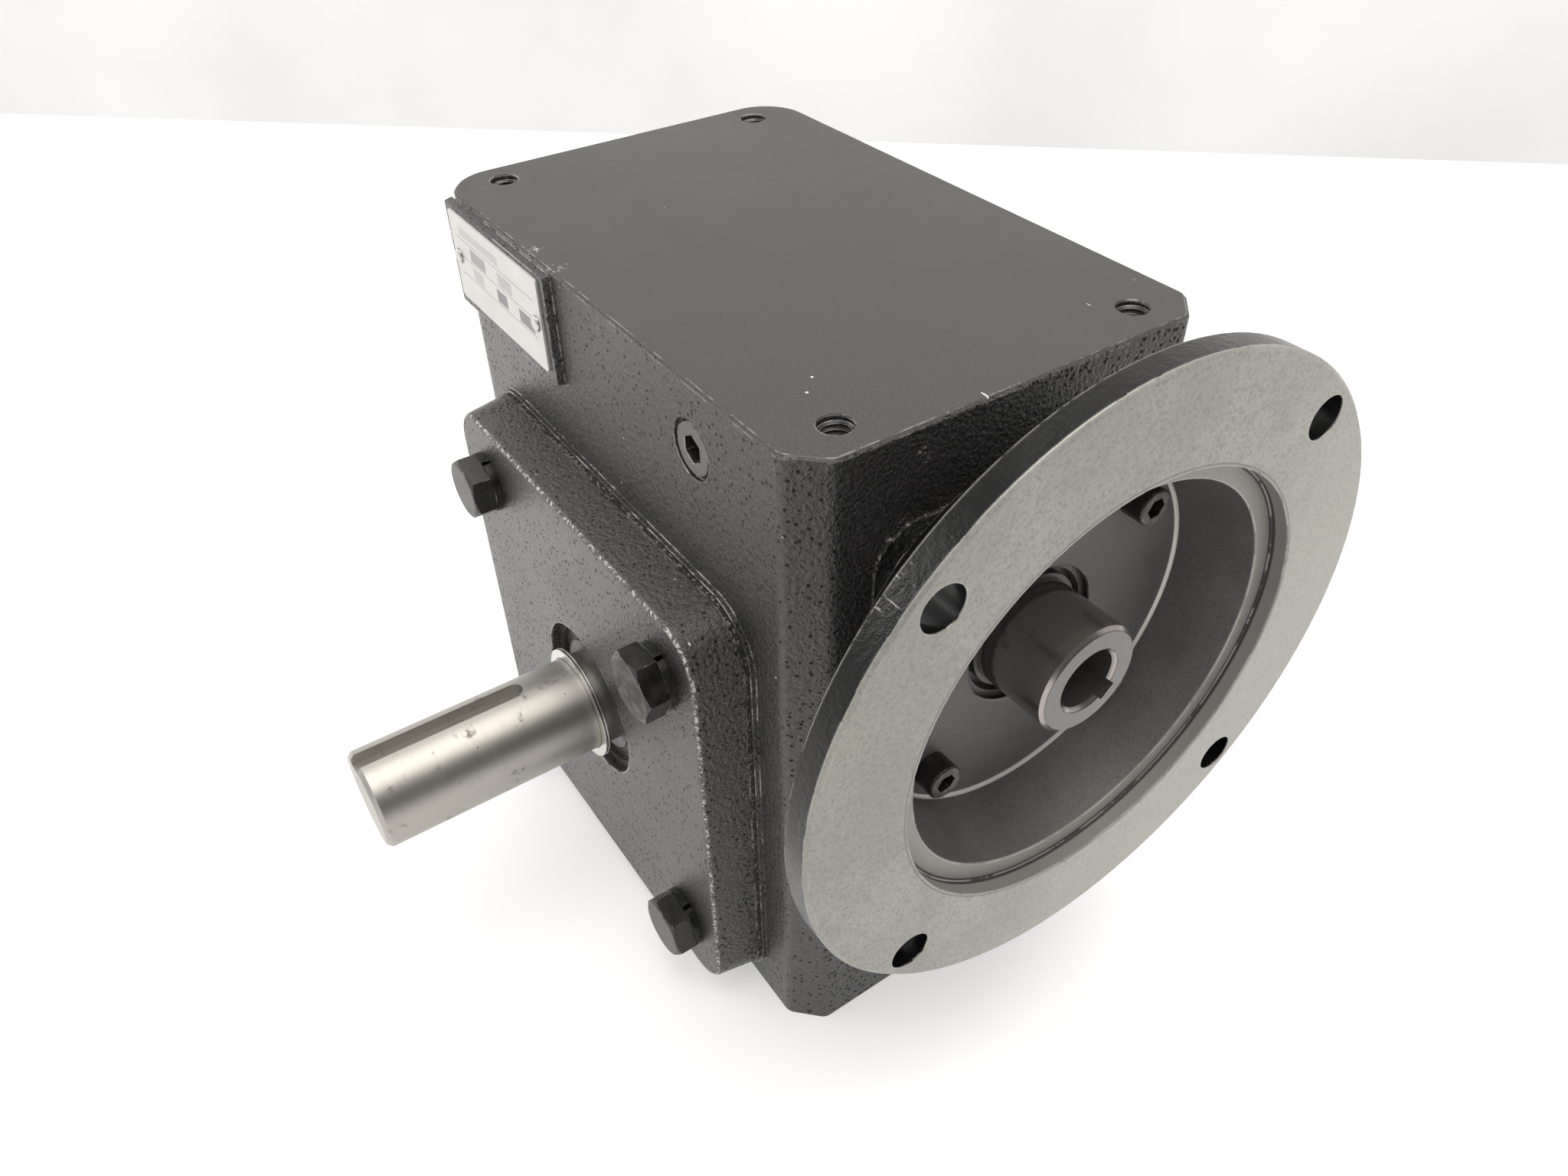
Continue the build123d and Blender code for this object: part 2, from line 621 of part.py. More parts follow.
adapter -= on_worm_axis(input_seal_r, adapter_back_x, seal_back_x + input_seal_w)
adapter -= on_worm_axis(seal_window_r, bowl_back_x, bowl_floor_x)
motor_side = motor_bolt_circle / sqrt(2)
for u, v in four(motor_side, motor_side):
    adapter -= disc(motor_hole_r, flange_back_x, face_reach, "x", u, worm_z + v)
for u, v in four(screw_side, screw_side):
    adapter -= disc(adapter_screw_r + screw_clear, adapter_back_x, bowl_floor_x, "x", u, worm_z + v)
motor_adapter = single(adapter)

neck_gasket = extrude(square_on(neck_plane, neck_w, neck_w, neck_round), -gasket_t)
neck_gasket -= on_worm_axis(big_bearing["outer"], side_x, adapter_back_x)
for u, v in four(screw_side, screw_side):
    neck_gasket -= disc(adapter_screw_r + screw_clear, side_x, adapter_back_x, "x", u, worm_z + v)
adapter_gasket = single(neck_gasket)


def socket_screw(u, v):
    """A socket head cap screw from the bowl's floor into the housing."""
    top_x = bowl_floor_x + adapter_screw_head_h
    tip_x = side_x - adapter_screw_grip
    seat = Plane((top_x, u, v), x_dir=(0, 1, 0), z_dir=(1, 0, 0))
    screw = disc(adapter_screw_head_r, bowl_floor_x, top_x, "x", u, v)
    screw = chamfer(screw.edges().sort_by(Axis.X)[-1], 0.5)
    screw -= extrude(seat * RegularPolygon(adapter_screw_socket / 2, 6, major_radius=False), -3.2)
    return screw + disc(adapter_screw_r - seat_clear, tip_x, bowl_floor_x, "x", u, v)


adapter_screws = group(socket_screw(u, worm_z + v) for u, v in four(screw_side, screw_side))

in_seal = ring(input_seal_r, quill_r + run_clear, seal_back_x, seal_back_x + input_seal_w, on_worm_axis)
in_seal -= ring(input_seal_r - seal_rim, quill_r + 1.2, seal_back_x + input_seal_w - seal_hollow,
                seal_back_x + input_seal_w, on_worm_axis)
input_seal = single(in_seal)

# Nameplate, left blank, on its cast pad, held by two drive pins
plate_front = Plane((plate_x, plate_seat_y, plate_z), x_dir=(1, 0, 0), z_dir=(0, -1, 0))
nameplate = extrude(square_on(plate_front, plate_w, plate_h, 1.5), plate_t)
pins = []
for side in (-1, 1):
    spot = plate_x + side * pin_offset
    nameplate -= disc(pin_r + 0.1, plate_seat_y, plate_seat_y - plate_t, "y", spot, plate_z)
    pin = disc(pin_r - seat_clear, plate_seat_y + pin_depth - 0.2, plate_seat_y - plate_t, "y", spot, plate_z)
    head_y = plate_seat_y - plate_t
    head = disc(pin_head_r, head_y, head_y - pin_head_h, "y", spot, plate_z)
    pins.append(pin + fillet(head.edges().sort_by(Axis.Y)[0], 0.6))
nameplate = single(nameplate)

nodes = {
    "housing": housing,
    "output_cover": output_cover,
    "cover_gasket": cover_gasket,
    "cover_bolts": cover_bolts,
    "lock_washers": lock_washers,
    "output_seal": output_seal,
    "output_shaft": output_shaft,
    "shaft_snap_ring": shaft_snap_ring,
    "wheel_key": wheel_key,
    "wheel_hub": wheel_hub,
    "wheel_rim": wheel_rim,
    "spacer_sleeve": spacer,
    "worm_shaft": worm_shaft,
    "worm_snap_ring": worm_snap_ring,
    "end_snap_ring": end_snap_ring,
    "end_plug": end_plug,
    "motor_adapter": motor_adapter,
    "adapter_gasket": adapter_gasket,
    "adapter_screws": adapter_screws,
    "input_seal": input_seal,
    "oil_plugs": group(plugs),
    "nameplate": nameplate,
    "nameplate_pins": group(pins),
}
for place, (outer, inner, balls, cage) in bearings.items():
    nodes[place + "_outer_race"] = outer
    nodes[place + "_inner_race"] = inner
    nodes[place + "_balls"] = balls
    nodes[place + "_cage"] = cage

for name, shape in nodes.items():
    export_step(shape, "parts/" + name + ".step")
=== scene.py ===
"""Looks of the worm gear reducer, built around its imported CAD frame. Metres throughout."""
import math

import bmesh
import bpy
from mathutils import Matrix, Vector


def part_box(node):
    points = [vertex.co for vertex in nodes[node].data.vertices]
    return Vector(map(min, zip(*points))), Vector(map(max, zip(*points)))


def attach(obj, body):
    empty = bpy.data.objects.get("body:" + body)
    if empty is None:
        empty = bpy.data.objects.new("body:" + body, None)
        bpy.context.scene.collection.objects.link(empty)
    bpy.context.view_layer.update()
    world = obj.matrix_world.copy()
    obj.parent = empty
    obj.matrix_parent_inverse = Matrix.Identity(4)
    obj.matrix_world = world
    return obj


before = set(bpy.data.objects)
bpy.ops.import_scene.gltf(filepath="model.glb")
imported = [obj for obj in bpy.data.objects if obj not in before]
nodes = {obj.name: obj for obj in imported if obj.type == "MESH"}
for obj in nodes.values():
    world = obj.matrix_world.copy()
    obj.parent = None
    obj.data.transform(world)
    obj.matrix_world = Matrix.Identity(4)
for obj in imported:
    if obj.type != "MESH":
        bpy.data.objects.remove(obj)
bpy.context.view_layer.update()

# The camera: a hand-held phone, close to the object and above it, looking down
# between the output shaft and the motor flange.
camera_place = (0.2360518, -0.1605273, 0.3253063)
camera_turn = Matrix((
    (0.56666284, -0.52764627, 0.63283698),
    (0.82383172, 0.37583221, -0.42432469),
    (-0.01394717, 0.76180021, 0.64766188),
))
camera_data = bpy.data.cameras.new("camera")
camera_data.sensor_width = 36.0
camera_data.lens = 26.938
camera_data.clip_start = 0.01
camera = bpy.data.objects.new("camera", camera_data)
camera.matrix_world = Matrix.Translation(camera_place) @ camera_turn.to_4x4()
bpy.context.scene.collection.objects.link(camera)
bpy.context.scene.camera = camera
bpy.context.scene.view_settings.view_transform = "Standard"


# The stand: a white table top whose far edge crosses the top of the picture,
# with a pale cloth hung behind it.
def new_material(name):
    """An empty node material with its Principled shader."""
    material = bpy.data.materials.new(name)
    material.use_nodes = True
    return material, material.node_tree, material.node_tree.nodes["Principled BSDF"]


def mesh_object(name, shape, material, smooth_angle=None):
    """A scene object from a finished bmesh, at the origin."""
    mesh = bpy.data.meshes.new(name)
    shape.to_mesh(mesh)
    shape.free()
    if smooth_angle is not None:
        mesh.shade_smooth()
        mesh.set_sharp_from_angle(angle=smooth_angle)
    made = bpy.data.objects.new(name, mesh)
    made.data.materials.append(material)
    bpy.context.scene.collection.objects.link(made)
    return made


def feed(tree, socket, value):
    """An input takes a constant, or a link from the socket that gives its value."""
    if isinstance(value, bpy.types.NodeSocket):
        tree.links.new(value, socket)
    else:
        socket.default_value = value


def math_node(tree, operation, *terms, clamp=False):
    """A Math node; each term is a number or the socket that gives it."""
    node = tree.nodes.new("ShaderNodeMath")
    node.operation = operation
    node.use_clamp = clamp
    for socket, term in zip(node.inputs, terms):
        feed(tree, socket, term)
    return node.outputs[0]


def noise_node(tree, vector, scale, detail=3.0, rough=0.5):
    """The value of a noise pattern."""
    node = tree.nodes.new("ShaderNodeTexNoise")
    for socket, value in (
        ("Vector", vector), ("Scale", scale), ("Detail", detail), ("Roughness", rough),
    ):
        feed(tree, node.inputs[socket], value)
    return node.outputs["Fac"]


def shown_white(tree, shader, colour, strength):
    """The surface also glows a little to the camera and to reflections, not onto the object."""
    path = tree.nodes.new("ShaderNodeLightPath")
    looked_at = math_node(
        tree, "ADD", path.outputs["Is Camera Ray"], path.outputs["Is Glossy Ray"], clamp=True)
    shader.inputs["Emission Color"].default_value = (*colour, 1)
    feed(tree, shader.inputs["Emission Strength"],
         math_node(tree, "MULTIPLY", looked_at, strength))


# Two points of the table's far edge, as the photograph shows it
far_left = Vector((-0.957, -0.120, 0))
far_right = Vector((-0.149, 0.778, 0))
table_depth = 3.0
table_spare = 2.4
backdrop_height = 1.6
backdrop_gap = 0.30
along = (far_right - far_left).normalized()
away = Vector((-along.y, along.x, 0))

table_finish, tree, shader = new_material("white_table")
shader.inputs["Base Color"].default_value = (0.68, 0.674, 0.67, 1)
shader.inputs["Roughness"].default_value = 0.7
shown_white(tree, shader, (1.0, 0.992, 0.988), 0.42)
left = far_left - along * table_spare
right = far_right + along * table_spare
near = away * table_depth
shape = bmesh.new()
shape.faces.new([shape.verts.new(p) for p in (left - near, right - near, right, left)])
mesh_object("table_top", shape, table_finish)

cloth_finish, tree, shader = new_material("pale_cloth")
shader.inputs["Roughness"].default_value = 0.9
spot = tree.nodes.new("ShaderNodeTexCoord").outputs["Object"]
tone = tree.nodes.new("ShaderNodeMapRange")
for socket, value in (
    ("Value", noise_node(tree, spot, 3.0, 4.0)),
    ("From Min", 0.35), ("From Max", 0.65), ("To Min", 0.60), ("To Max", 0.70),
):
    feed(tree, tone.inputs[socket], value)
tree.links.new(tone.outputs["Result"], shader.inputs["Base Color"])
shown_white(tree, shader, (1.0, 0.988, 0.975), 0.26)
left += away * backdrop_gap
right += away * backdrop_gap
up = Vector((0, 0, backdrop_height))
shape = bmesh.new()
shape.faces.new([shape.verts.new(p) for p in (left - up, right - up, right + up, left + up)])
mesh_object("backdrop", shape, cloth_finish)


# The room: plain white all round. Bright metal and paint mirror a dim side of it, where
# the photographer stands.
def step_node(tree, value, low, high, to_low=0.0, to_high=1.0):
    """A soft step from to_low to to_high where value passes low to high."""
    node = tree.nodes.new("ShaderNodeMapRange")
    node.interpolation_type = "SMOOTHSTEP"
    for socket, term in (
        ("Value", value), ("From Min", low), ("From Max", high),
        ("To Min", to_low), ("To Max", to_high),
    ):
        feed(tree, node.inputs[socket], term)
    return node.outputs["Result"]


def vector_node(tree, operation, first, second):
    """The number that a Vector Math node makes of two vectors."""
    node = tree.nodes.new("ShaderNodeVectorMath")
    node.operation = operation
    feed(tree, node.inputs[0], first)
    feed(tree, node.inputs[1], second)
    return node.outputs["Value"]


room_strength = 0.84
dim_strength = 0.10
wall_strength = 0.92
dim_side = Vector((0.92, 0.05, 0.30)).normalized()
world = bpy.data.worlds.new("studio")
bpy.context.scene.world = world
world.use_nodes = True
tree = world.node_tree
background = tree.nodes["Background"]
background.inputs["Color"].default_value = (0.96, 0.955, 0.95, 1)
path = tree.nodes.new("ShaderNodeLightPath")
looking = tree.nodes.new("ShaderNodeTexCoord").outputs["Generated"]
towards_dim = vector_node(tree, "DOT_PRODUCT", looking, dim_side)
mirrored = step_node(tree, towards_dim, 0.62, 0.90, room_strength, dim_strength)
strength = step_node(tree, path.outputs["Is Glossy Ray"], 0.0, 1.0, room_strength, mirrored)
strength = step_node(tree, path.outputs["Is Camera Ray"], 0.0, 1.0, strength, wall_strength)
tree.links.new(strength, background.inputs["Strength"])

object_middle = Vector((0, 0, 0.1))


def soft_lamp(name, place, width, power, colour):
    """A square studio lamp that faces the object."""
    lamp = bpy.data.lights.new(name, "AREA")
    lamp.size = width
    lamp.energy = power
    lamp.color = colour
    made = bpy.data.objects.new(name, lamp)
    turn = (object_middle - Vector(place)).to_track_quat("-Z", "Y")
    made.matrix_world = Matrix.Translation(place) @ turn.to_matrix().to_4x4()
    bpy.context.scene.collection.objects.link(made)


soft_lamp("overhead_lamp", (0.21, 0.11, 1.5), width=1.2, power=15.0, colour=(1.0, 0.965, 0.91))
soft_lamp("side_lamp", (-1.1, -0.9, 0.8), width=0.8, power=6.0, colour=(1.0, 0.98, 0.96))


# The housing: one grey iron casting, bare sand skin under semi-gloss black paint.
# Its top and base are milled flat before painting, so they are smooth between sharp,
# slightly rubbed edges.
def times(tree, first, second):
    """The product of two terms."""
    return math_node(tree, "MULTIPLY", first, second)


def mix_colour(tree, share, first, second):
    """A colour between two, each an RGB tuple or the socket that gives it."""
    node = tree.nodes.new("ShaderNodeMix")
    node.data_type = "RGBA"
    feed(tree, node.inputs[0], share)
    for index, colour in ((6, first), (7, second)):
        feed(tree, node.inputs[index], (*colour, 1) if isinstance(colour, tuple) else colour)
    return node.outputs[2]


def laid_over(tree, colour, layers):
    """A colour with others laid over it in turn, each as far as its own mask says."""
    for mask, over in layers:
        colour = mix_colour(tree, mask, colour, over)
    return colour


def bump_node(tree, height, strength, distance, normal=None):
    """The normal of a surface raised by height, in metres times distance."""
    node = tree.nodes.new("ShaderNodeBump")
    node.inputs["Strength"].default_value = strength
    node.inputs["Distance"].default_value = distance
    tree.links.new(height, node.inputs["Height"])
    if normal is not None:
        tree.links.new(normal, node.inputs["Normal"])
    return node.outputs["Normal"]


def cell_node(tree, vector, scale):
    """How far a point is from the middle of its cell, and two chance values of that cell."""
    cells = tree.nodes.new("ShaderNodeTexVoronoi")
    feed(tree, cells.inputs["Vector"], vector)
    feed(tree, cells.inputs["Scale"], scale)
    chance = tree.nodes.new("ShaderNodeSeparateColor")
    tree.links.new(cells.outputs["Color"], chance.inputs["Color"])
    return cells.outputs["Distance"], chance.outputs["Red"], chance.outputs["Green"]


def stretched(tree, vector, scale, turn=(0, 0, 0)):
    """Coordinates turned and scaled, so that a pattern on them comes out drawn long."""
    node = tree.nodes.new("ShaderNodeMapping")
    node.inputs["Rotation"].default_value = turn
    node.inputs["Scale"].default_value = scale
    tree.links.new(vector, node.inputs["Vector"])
    return node.outputs["Vector"]


def split_vector(tree, vector):
    """A vector's X, Y and Z."""
    node = tree.nodes.new("ShaderNodeSeparateXYZ")
    tree.links.new(vector, node.inputs[0])
    return node.outputs[0], node.outputs[1], node.outputs[2]


def object_point(tree):
    """The point's own coordinates in metres, whole and as X, Y and Z."""
    spot = tree.nodes.new("ShaderNodeTexCoord").outputs["Object"]
    return spot, *split_vector(tree, spot)


def surface_facing(tree):
    """The way a face looks, as X, Y and Z."""
    surface = tree.nodes.new("ShaderNodeNewGeometry")
    return split_vector(tree, surface.outputs["True Normal"])


def shader_group(name, inputs, outputs):
    """An empty node group with named value or vector sockets."""
    group = bpy.data.node_groups.new(name, "ShaderNodeTree")
    for socket, kind, value in inputs:
        made = group.interface.new_socket(socket, in_out="INPUT", socket_type=kind)
        made.default_value = value
    for socket, kind in outputs:
        group.interface.new_socket(socket, in_out="OUTPUT", socket_type=kind)
    return group, group.nodes.new("NodeGroupInput"), group.nodes.new("NodeGroupOutput")


def place_group(tree, group, vector, **values):
    """A group node fed with the point's own coordinates and a few numbers."""
    node = tree.nodes.new("ShaderNodeGroup")
    node.node_tree = group
    tree.links.new(vector, node.inputs["Vector"])
    for name, value in values.items():
        node.inputs[name.replace("_", " ")].default_value = value
    return node


FLOAT, VECTOR = "NodeSocketFloat", "NodeSocketVector"

# Edge rub: how near a point is to an outside edge, broken up by a noise
edge_rub, group_in, group_out = shader_group(
    "edge_rub",
    (("Vector", VECTOR, (0, 0, 0)), ("Radius", FLOAT, 0.0009),
     ("Amount", FLOAT, 0.5), ("Patch Scale", FLOAT, 90.0)),
    (("Mask", FLOAT), ("Rounded", VECTOR)),
)
rounded = edge_rub.nodes.new("ShaderNodeBevel")
rounded.samples = 6
edge_rub.links.new(group_in.outputs["Radius"], rounded.inputs["Radius"])
here = edge_rub.nodes.new("ShaderNodeNewGeometry")
agreed = vector_node(
    edge_rub, "DOT_PRODUCT", rounded.outputs["Normal"], here.outputs["Normal"])
lean = math_node(edge_rub, "SUBTRACT", 1.0, agreed)
at_edge = step_node(edge_rub, lean, 0.015, 0.10)
patches = noise_node(
    edge_rub, group_in.outputs["Vector"], group_in.outputs["Patch Scale"], 5.0, 0.72)
worn = math_node(edge_rub, "ADD", patches, group_in.outputs["Amount"])
worn = step_node(edge_rub, worn, 0.99, 1.05)
mask = math_node(edge_rub, "MULTIPLY", at_edge, worn, clamp=True)
edge_rub.links.new(mask, group_out.inputs["Mask"])
edge_rub.links.new(rounded.outputs["Normal"], group_out.inputs["Rounded"])

# Cast skin: the sand-cast lumps that show through paint, 1 to 2 mm across, and fine pits
grain_scale = 2600.0
pit_scale = 600.0
pitted_cells = 0.45
grain_height = 0.16
pit_height = -0.22
cast_skin, group_in, group_out = shader_group(
    "cast_skin",
    (("Vector", VECTOR, (0, 0, 0)), ("Lump Scale", FLOAT, 880.0)),
    (("Height", FLOAT), ("Pits", FLOAT)),
)
point = group_in.outputs["Vector"]
lumps = noise_node(cast_skin, point, group_in.outputs["Lump Scale"], 4.0, 0.62)
grain = noise_node(cast_skin, point, grain_scale, 1.0)
from_pit, chance, _ = cell_node(cast_skin, point, pit_scale)
pits = step_node(cast_skin, from_pit, 0.12, 0.36, 1.0, 0.0)
pits = times(cast_skin, pits, math_node(cast_skin, "LESS_THAN", chance, pitted_cells))
height = math_node(cast_skin, "MULTIPLY_ADD", grain, grain_height, lumps)
height = math_node(cast_skin, "MULTIPLY_ADD", pits, pit_height, height)
cast_skin.links.new(height, group_out.inputs["Height"])
cast_skin.links.new(pits, group_out.inputs["Pits"])

# Dust: pale lint specks, sparse and uneven, up to a tenth of their cell
speck_size = 0.10
dust, group_in, group_out = shader_group(
    "dust",
    (("Vector", VECTOR, (0, 0, 0)), ("Scale", FLOAT, 170.0), ("Amount", FLOAT, 0.1)),
    (("Mask", FLOAT),),
)
from_speck, chance, size_chance = cell_node(
    dust, group_in.outputs["Vector"], group_in.outputs["Scale"])
chosen = math_node(dust, "LESS_THAN", chance, group_in.outputs["Amount"])
inside = math_node(dust, "LESS_THAN", from_speck, times(dust, size_chance, speck_size))
dust.links.new(times(dust, chosen, inside), group_out.inputs["Mask"])


def set_finish(tree, shader, colour, rough, normal, metal):
    """The shader's main values, each a number or the socket that gives it."""
    for socket, value in (
        ("Base Color", colour), ("Roughness", rough), ("Normal", normal), ("Metallic", metal),
    ):
        feed(tree, shader.inputs[socket], value)


def dress(node_name, material):
    """A CAD node takes a material in every slot."""
    for slot in nodes[node_name].material_slots:
        slot.material = material


def off_plane(tree, coordinate, plane):
    """How far a coordinate is from the plane at that value, on either side."""
    return math_node(tree, "ABSOLUTE", math_node(tree, "SUBTRACT", coordinate, plane))


def chip_mask(tree, spot, chips):
    """1 where a knock has taken the paint off, at places (x, y, z, reach)."""
    jagged = noise_node(tree, spot, 760.0, 5.0, 0.75)
    flaked_or_glinting = 0.0
    for *centre, reach in chips:
        gap = vector_node(tree, "DISTANCE", spot, centre)
        close = step_node(tree, gap, 0.2 * reach, reach, 0.10, -0.30)
        close = step_node(tree, math_node(tree, "ADD", close, jagged), 0.64, 0.67)
        flaked_or_glinting = math_node(tree, "MAXIMUM", flaked_or_glinting, close)
    return flaked_or_glinting


def painted_glint_mask(tree, spot, y, facing_y, front_y):
    """1 in the grains painted bright along the rounded edge of a face at front_y: painted glints
    standing in for highlights.
    """
    lean = math_node(tree, "ABSOLUTE", facing_y)
    band = times(
        tree, step_node(tree, lean, 0.45, 0.60), step_node(tree, lean, 0.90, 0.97, 1.0, 0.0))
    band = times(tree, band, step_node(tree, y, front_y + 0.0015, front_y + 0.002, 1.0, 0.0))
    grains = noise_node(tree, spot, 950.0, 3.0, 0.7)
    return times(tree, band, step_node(tree, grains, 0.50, 0.56))


paint_ior = 1.52
black_paint_colour = (0.010, 0.0093, 0.0095)
worn_paint_colour = (0.026, 0.0243, 0.0246)
# The pits' darker colour is painted shade in the hollows of the cast skin.
pit_shade_colour = (0.004, 0.004, 0.004)
bare_iron_colour = (0.50, 0.49, 0.47)
dust_colour = (0.62, 0.61, 0.59)
skin_depth = 0.0005
motor_side_lumps = 2.2
housing_top_z = 0.200


def black_paint(
    name, lumps=1.0, rub=0.50, rub_radius=0.0009, flat_zs=(), chips=(), front_y=None,
):
    """Semi-gloss black paint over iron, milled near the heights flat_zs. Its cast lumps are
    stronger on the side that faces the motor. front_y is a face whose rounded edge gets painted
    glints."""
    material, tree, shader = new_material(name)
    shader.inputs["IOR"].default_value = paint_ior
    spot, _, y, z = object_point(tree)
    facing_x, facing_y, _ = surface_facing(tree)
    skin = place_group(tree, cast_skin, spot)
    rubbed = place_group(tree, edge_rub, spot, Amount=rub, Radius=rub_radius)
    lint = place_group(tree, dust, spot, Scale=230.0, Amount=0.035)
    drawn = stretched(tree, spot, (0.16, 1.0, 1.0), turn=(0.5, 0.3, 0.75))
    scratches = place_group(tree, dust, drawn, Scale=330.0, Amount=0.06)
    marks = math_node(tree, "MAXIMUM", lint.outputs["Mask"], scratches.outputs["Mask"])
    cloudy = noise_node(tree, spot, 28.0, 4.0, 0.6)
    fine = noise_node(tree, spot, 1500.0, 3.0, 0.6)

    cast, milled = lumps, 0.0
    for flat_z in flat_zs:
        off = step_node(tree, off_plane(tree, z, flat_z), 0.00012, 0.0006)
        cast = times(tree, cast, off)
        milled = math_node(tree, "MAXIMUM", milled, math_node(tree, "SUBTRACT", 1.0, off))
    cast = times(tree, cast, step_node(tree, facing_x, 0.4, 0.9, 1.0, motor_side_lumps))
    pitted = math_node(tree, "MULTIPLY", skin.outputs["Pits"], cast, clamp=True)
    flaked_or_glinting = rubbed.outputs["Mask"]
    if chips:
        flaked_or_glinting = math_node(tree, "MAXIMUM", flaked_or_glinting, chip_mask(tree, spot, chips))
    if front_y is not None:
        # Bright grains along the front edge are painted glints standing in for highlights; they
        # are laid with the flaked paint.
        painted_glints = painted_glint_mask(tree, spot, y, facing_y, front_y)
        flaked_or_glinting = math_node(tree, "MAXIMUM", flaked_or_glinting, painted_glints)

    height = times(tree, skin.outputs["Height"], cast)
    height = math_node(tree, "MULTIPLY_ADD", fine, 0.035, height)
    height = math_node(tree, "MULTIPLY_ADD", flaked_or_glinting, -0.12, height)
    rough = step_node(tree, cloudy, 0.3, 0.7, 0.23, 0.31)
    for share, added in ((milled, 0.14), (marks, 0.4), (pitted, 0.5)):
        rough = math_node(tree, "MULTIPLY_ADD", share, added, rough)
    rough = math_node(tree, "ADD", rough, step_node(tree, fine, 0.42, 0.60, -0.03, 0.07))
    shine = step_node(tree, fine, 0.40, 0.60, 0.68, 1.0)
    shine = math_node(tree, "MULTIPLY_ADD", pitted, -0.42, shine)
    tree.links.new(shine, shader.inputs["Specular IOR Level"])
    colour = mix_colour(tree, cloudy, black_paint_colour, worn_paint_colour)
    # Pits are laid darker: painted shade in the hollows of the cast skin.
    colour = laid_over(tree, colour, (
        (times(tree, pitted, 0.7), pit_shade_colour), (flaked_or_glinting, bare_iron_colour), (marks, dust_colour),
    ))
    normal = bump_node(tree, height, 1.0, skin_depth, rubbed.outputs["Rounded"])
    set_finish(tree, shader, colour, rough, normal, times(tree, flaked_or_glinting, 0.6))
    return material


# Two knocks on the top's edge by the nameplate, two on the edge towards the motor
housing_chips = (
    (-0.031, -0.0550, housing_top_z, 0.006), (-0.018, -0.0552, housing_top_z, 0.008),
    (0.0888, -0.0270, 0.1929, 0.006), (0.0888, -0.0325, 0.1750, 0.010),
)
dress("housing", black_paint(
    "housing_paint", rub_radius=0.0006, flat_zs=(0.0, housing_top_z), chips=housing_chips))

# The tapped holes of the top and the base: a 60 degree thread cut into the iron, eighteen
# turns to the inch, dark with grime between its bright crests.
thread_pitch = 0.0254 / 18
thread_root = 0.00401
thread_crest = 0.0034
root_half_width = 0.44 * thread_pitch
crest_half_width = 0.06 * thread_pitch
thread_turns = 9
thread_steps = 28
first_turn = 0.0008
hole_x, hole_y = 0.0785, 0.042
thread_finish, tree, shader = new_material("tapped_iron")
spot = object_point(tree)[0]
rubbed = place_group(tree, edge_rub, spot, Radius=0.00025, Amount=0.62, Patch_Scale=300.0)
grime = noise_node(tree, spot, 500.0, 4.0, 0.6)
tone = mix_colour(tree, grime, (0.02, 0.019, 0.018), (0.09, 0.087, 0.083))
tone = mix_colour(tree, rubbed.outputs["Mask"], tone, (0.42, 0.41, 0.39))
set_finish(
    tree, shader, tone, step_node(tree, grime, 0.3, 0.7, 0.28, 0.42),
    bump_node(tree, grime, 0.3, 0.0001), 0.6)
for side, mouth_z, inward in (("top", housing_top_z, -1), ("base", 0.0, 1)):
    shape = bmesh.new()
    for centre_x in (-hole_x, hole_x):
        for centre_y in (-hole_y, hole_y):
            start_z = mouth_z + inward * (first_turn + thread_pitch / 2)
            profile = (
                (thread_root, -root_half_width), (thread_crest, -crest_half_width),
                (thread_crest, crest_half_width), (thread_root, root_half_width),
            )
            ridge = shape.faces.new([
                shape.verts.new((centre_x + r, centre_y, start_z + dz)) for r, dz in profile])
            bmesh.ops.spin(
                shape, geom=[ridge, *ridge.edges, *ridge.verts], cent=(centre_x, centre_y, 0),
                axis=(0, 0, 1), dvec=(0, 0, inward * thread_pitch / thread_steps),
                angle=2 * math.pi * thread_turns, steps=thread_turns * thread_steps)
    bmesh.ops.recalc_face_normals(shape, faces=shape.faces)
    threads = mesh_object(f"{side}_threads", shape, thread_finish, math.radians(30))
    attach(threads, "case")

# The output cover: a second casting in the same paint, with a softer front edge, and
# the thin fibre gasket that seals it to the housing. The adapter's gasket is cut from
# the same sheet.
cover_front_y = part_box("output_cover")[0].y
# Its rounded front edge carries painted glints, bright grains standing in for highlights.
dress("output_cover", black_paint(
    "cover_paint", rub=0.54, rub_radius=0.0012, front_y=cover_front_y))

gasket_finish, tree, shader = new_material("gasket_fibre")
fibre = noise_node(tree, object_point(tree)[0], 900.0, 6.0, 0.7)
colour = mix_colour(
    tree, step_node(tree, fibre, 0.52, 0.60), (0.018, 0.018, 0.017), (0.26, 0.25, 0.225))
set_finish(tree, shader, colour, 0.85, bump_node(tree, fibre, 0.5, 0.0002), 0.0)
for name in ("cover_gasket", "adapter_gasket"):
    dress(name, gasket_finish)

# The cover bolts with their spring washers, and the adapter's socket screws: forged steel
# blackened in oil; the turned end of each head is greyer than its flats.
oxide_colours = (0.007, 0.0068, 0.0068), (0.018, 0.0173, 0.0167)
turned_colours = (0.035, 0.034, 0.032), (0.115, 0.112, 0.106)
rubbed_steel_colour = (0.34, 0.335, 0.325)


